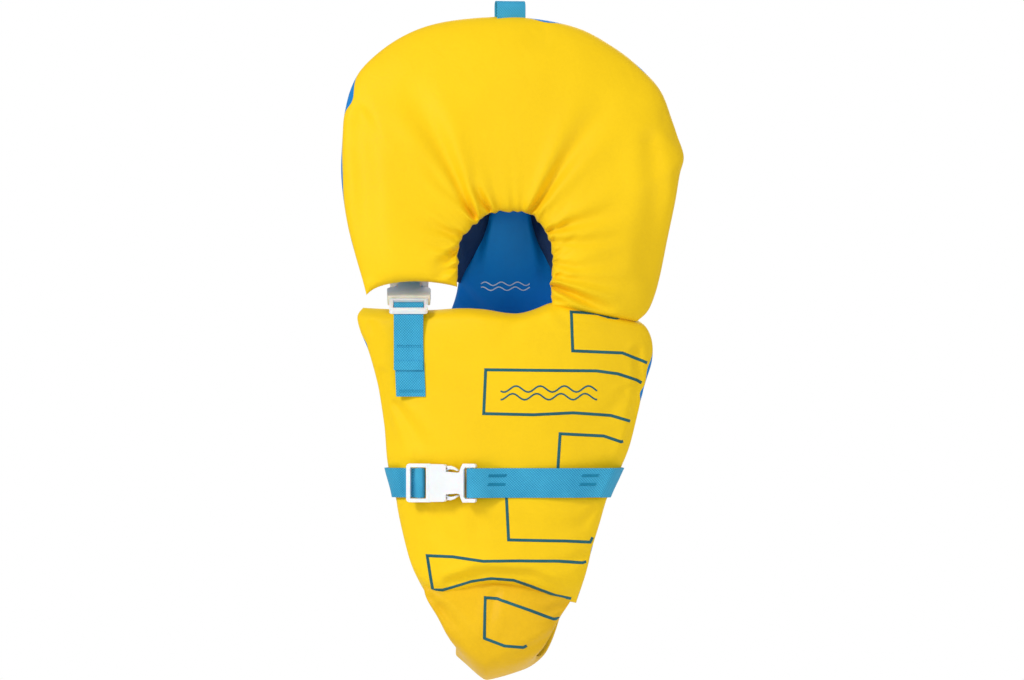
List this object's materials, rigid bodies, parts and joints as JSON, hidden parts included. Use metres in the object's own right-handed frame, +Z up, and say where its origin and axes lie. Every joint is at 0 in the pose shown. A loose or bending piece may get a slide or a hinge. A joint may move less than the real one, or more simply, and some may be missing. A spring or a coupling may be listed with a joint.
{
  "type": "infant life jacket",
  "caption": "Padded life jacket for an infant, with a head-support collar, a grab loop, a crotch strap and belts closed by side-release buckles.",
  "frame": {"origin": "inside top of the grab loop, where the jacket hangs from a hook", "axes": "+Z up, +X to the wearer's left, +Y to the wearer's back, so the chest panel faces -Y"},
  "size_m": [0.2899, 0.1416, 0.5771],
  "materials": {
    "yellow_nylon": "coated woven nylon, slight sheen",
    "blue_nylon": "coated woven nylon, slight sheen",
    "navy_nylon": "coated woven nylon, matte",
    "foam": "closed-cell foam sheet, matte",
    "elastic": "braided elastic cord",
    "webbing": "woven polypropylene webbing",
    "white_plastic": "moulded acetal, satin",
    "cream_plastic": "moulded acetal, satin"
  },
  "bodies": {
    "jacket": {"chest_cover": "yellow_nylon", "crotch_cover": "yellow_nylon", "crotch_lining": "yellow_nylon", "collar_cover_front": "yellow_nylon", "chest_lining": "blue_nylon", "back_cover": "blue_nylon", "back_lining": "blue_nylon", "collar_cover_back": "blue_nylon", "neck_gusset_right": "navy_nylon", "neck_gusset_left": "navy_nylon", "chest_foam_outer": "foam", "chest_foam_inner": "foam", "back_foam_outer": "foam", "back_foam_inner": "foam", "crotch_foam": "foam", "collar_foam_front": "foam", "collar_foam_back": "foam", "neck_elastic": "elastic", "grab_loop": "webbing", "waist_belt": "webbing", "belt_keeper": "webbing", "shoulder_strap_front": "webbing", "shoulder_strap_rear": "webbing", "waist_buckle_female": "white_plastic", "shoulder_buckle_female": "cream_plastic"},
    "waist_male": {"waist_buckle_male": "white_plastic", "waist_belt_fold": "webbing"},
    "waist_upper_prong": {"waist_prong_upper": "white_plastic"},
    "waist_lower_prong": {"waist_prong_lower": "white_plastic"},
    "shoulder_male": {"shoulder_buckle_male": "white_plastic", "shoulder_strap_tail": "webbing"},
    "shoulder_right_prong": {"shoulder_prong_right": "white_plastic"},
    "shoulder_left_prong": {"shoulder_prong_left": "white_plastic"}
  },
  "joints": [
    {"name": "waist_buckle_release", "type": "slide", "parent": "jacket", "child": "waist_male", "axis": [-0.972, 0.2349, 0], "range_m": [0, 0.026], "deforming": ["waist_prong_upper", "waist_prong_lower"]},
    {"name": "waist_upper_prong_squeeze", "type": "hinge", "parent": "waist_male", "child": "waist_upper_prong", "pos_m": [-0.06626, -0.07867, -0.4013], "axis": [0.2349, 0.972, 0], "range_deg": [0, 8], "stiffness_Nm_per_rad": 0.5},
    {"name": "waist_lower_prong_squeeze", "type": "hinge", "parent": "waist_male", "child": "waist_lower_prong", "pos_m": [-0.06626, -0.07867, -0.4187], "axis": [-0.2349, -0.972, 0], "range_deg": [0, 8], "stiffness_Nm_per_rad": 0.5},
    {"name": "shoulder_buckle_release", "type": "slide", "parent": "jacket", "child": "shoulder_male", "axis": [0, -0.8829, -0.4695], "range_m": [0, 0.026], "deforming": ["shoulder_prong_right", "shoulder_prong_left"]},
    {"name": "shoulder_right_prong_squeeze", "type": "hinge", "parent": "shoulder_male", "child": "shoulder_right_prong", "pos_m": [-0.0947, -0.05242, -0.25499], "axis": [0, 0.4695, -0.8829], "range_deg": [0, 8], "stiffness_Nm_per_rad": 0.5},
    {"name": "shoulder_left_prong_squeeze", "type": "hinge", "parent": "shoulder_male", "child": "shoulder_left_prong", "pos_m": [-0.0773, -0.05242, -0.25499], "axis": [0, -0.4695, 0.8829], "range_deg": [0, 8], "stiffness_Nm_per_rad": 0.5}
  ]
}
